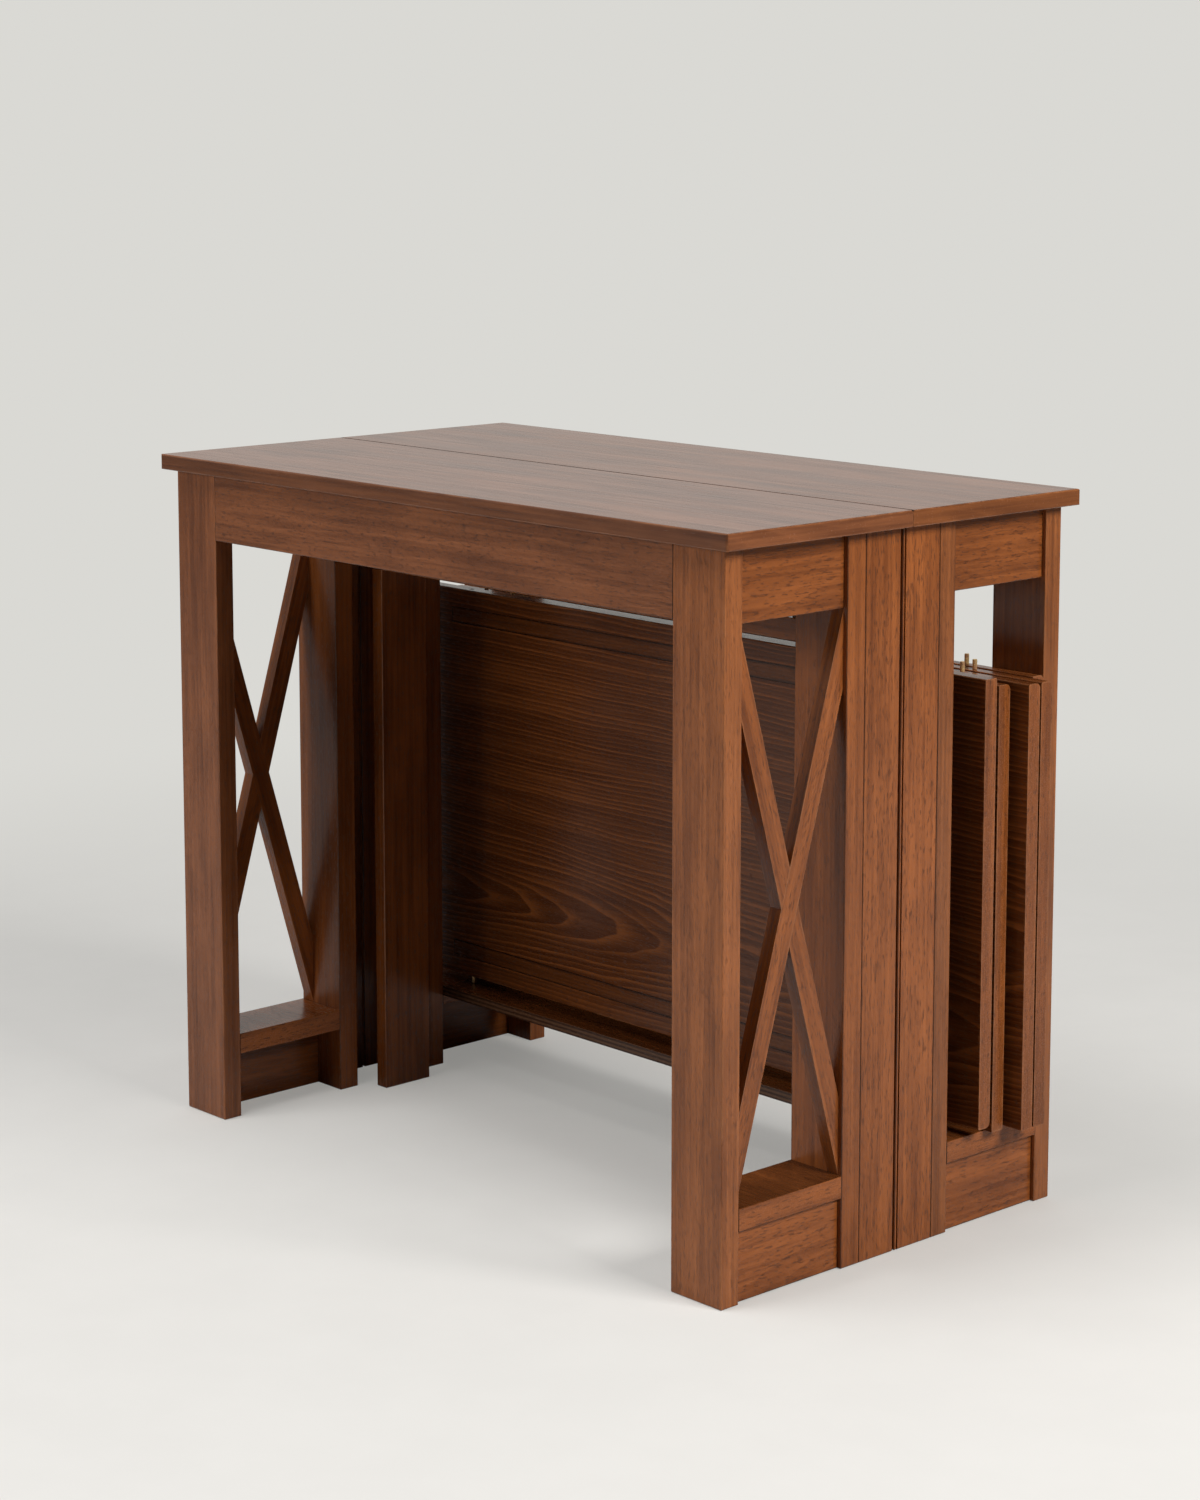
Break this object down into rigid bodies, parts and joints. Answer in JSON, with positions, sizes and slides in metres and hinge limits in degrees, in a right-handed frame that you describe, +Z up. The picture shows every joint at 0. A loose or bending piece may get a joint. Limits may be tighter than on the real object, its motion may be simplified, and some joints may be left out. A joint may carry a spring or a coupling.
{
  "type": "extending console table",
  "caption": "Extending console table of stained wood: its front half slides out on telescoping runners, and spare leaves stand on edge in the rear half. Crossed braces fill the front ends.",
  "frame": {"origin": "on the floor, under the middle of the closed table", "axes": "+X along the long side, +Y to the back, where the leaves are stored, +Z up"},
  "size_m": [0.928, 0.51, 0.755],
  "materials": {
    "stained_beech": "satin walnut stain",
    "stained_plywood": "satin walnut stain",
    "brass": "turned",
    "runner_aluminium": "satin extruded"
  },
  "bodies": {
    "rear_half": {"apron_back": "stained_beech", "end_apron_rear_left": "stained_beech", "end_apron_rear_right": "stained_beech", "end_board_rear_left": "stained_beech", "end_board_rear_right": "stained_beech", "kick_rear_left": "stained_beech", "kick_rear_right": "stained_beech", "leaf_shelf": "stained_plywood", "leg_back_left": "stained_beech", "leg_back_right": "stained_beech", "post_rear_left": "stained_beech", "post_rear_right": "stained_beech", "rail_rear_left": "stained_beech", "rail_rear_right": "stained_beech", "runner_rear": "runner_aluminium", "top_rear": "stained_beech"},
    "front_half": {"apron_front": "stained_beech", "brace_falling_left": "stained_beech", "brace_falling_right": "stained_beech", "brace_rising_left": "stained_beech", "brace_rising_right": "stained_beech", "end_apron_front_left": "stained_beech", "end_apron_front_right": "stained_beech", "end_board_front_left": "stained_beech", "end_board_front_right": "stained_beech", "kick_front_left": "stained_beech", "kick_front_right": "stained_beech", "leg_front_left": "stained_beech", "leg_front_right": "stained_beech", "post_front_left": "stained_beech", "post_front_right": "stained_beech", "rail_front_left": "stained_beech", "rail_front_right": "stained_beech", "runner_front": "runner_aluminium", "seam_pins": "brass", "top_front": "stained_beech"},
    "runner_stage_1": {"runner_1": "runner_aluminium"},
    "runner_stage_2": {"runner_2": "runner_aluminium"},
    "runner_stage_3": {"runner_3": "runner_aluminium", "middle_crossbar": "stained_beech", "middle_leg_left": "stained_beech", "middle_leg_right": "stained_beech"},
    "runner_stage_4": {"runner_4": "runner_aluminium"},
    "runner_stage_5": {"runner_5": "runner_aluminium"},
    "spare_leaf_1": {"leaf_1": "stained_beech", "leaf_1_battens": "stained_beech", "leaf_1_pins": "brass"},
    "spare_leaf_2": {"leaf_2": "stained_beech", "leaf_2_battens": "stained_beech", "leaf_2_pins": "brass"},
    "spare_leaf_3": {"leaf_3": "stained_beech", "leaf_3_battens": "stained_beech", "leaf_3_pins": "brass"},
    "spare_leaf_4": {"leaf_4": "stained_beech", "leaf_4_battens": "stained_beech", "leaf_4_pins": "brass"},
    "spare_leaf_5": {"leaf_5": "stained_beech", "leaf_5_battens": "stained_beech", "leaf_5_pins": "brass"}
  },
  "joints": [
    {"name": "front_slide", "type": "slide", "parent": "rear_half", "child": "front_half", "axis": [0, -1, 0], "range_m": [0, 2.3375]},
    {"name": "runner_stage_1_slide", "type": "slide", "parent": "rear_half", "child": "runner_stage_1", "axis": [0, -1, 0], "range_m": [0, 0.3897]},
    {"name": "runner_stage_2_slide", "type": "slide", "parent": "rear_half", "child": "runner_stage_2", "axis": [0, -1, 0], "range_m": [0, 0.7793]},
    {"name": "runner_stage_3_slide", "type": "slide", "parent": "rear_half", "child": "runner_stage_3", "axis": [0, -1, 0], "range_m": [0, 1.1688]},
    {"name": "runner_stage_4_slide", "type": "slide", "parent": "rear_half", "child": "runner_stage_4", "axis": [0, -1, 0], "range_m": [0, 1.5584]},
    {"name": "runner_stage_5_slide", "type": "slide", "parent": "rear_half", "child": "runner_stage_5", "axis": [0, -1, 0], "range_m": [0, 1.948]},
    {"name": "leaf_1_slide", "type": "slide", "parent": "rear_half", "child": "spare_leaf_1", "axis": [1, 0, 0], "range_m": [0, 0.9]},
    {"name": "leaf_2_slide", "type": "slide", "parent": "rear_half", "child": "spare_leaf_2", "axis": [1, 0, 0], "range_m": [0, 0.9]},
    {"name": "leaf_3_slide", "type": "slide", "parent": "rear_half", "child": "spare_leaf_3", "axis": [1, 0, 0], "range_m": [0, 0.9]},
    {"name": "leaf_4_slide", "type": "slide", "parent": "rear_half", "child": "spare_leaf_4", "axis": [1, 0, 0], "range_m": [0, 0.9]},
    {"name": "leaf_5_slide", "type": "slide", "parent": "rear_half", "child": "spare_leaf_5", "axis": [1, 0, 0], "range_m": [0, 0.9]}
  ],
  "couplings": [
    {"joint": "runner_stage_1_slide", "follows": "front_slide", "ratio": 0.16667},
    {"joint": "runner_stage_2_slide", "follows": "front_slide", "ratio": 0.33333},
    {"joint": "runner_stage_3_slide", "follows": "front_slide", "ratio": 0.5},
    {"joint": "runner_stage_4_slide", "follows": "front_slide", "ratio": 0.66667},
    {"joint": "runner_stage_5_slide", "follows": "front_slide", "ratio": 0.83333}
  ]
}
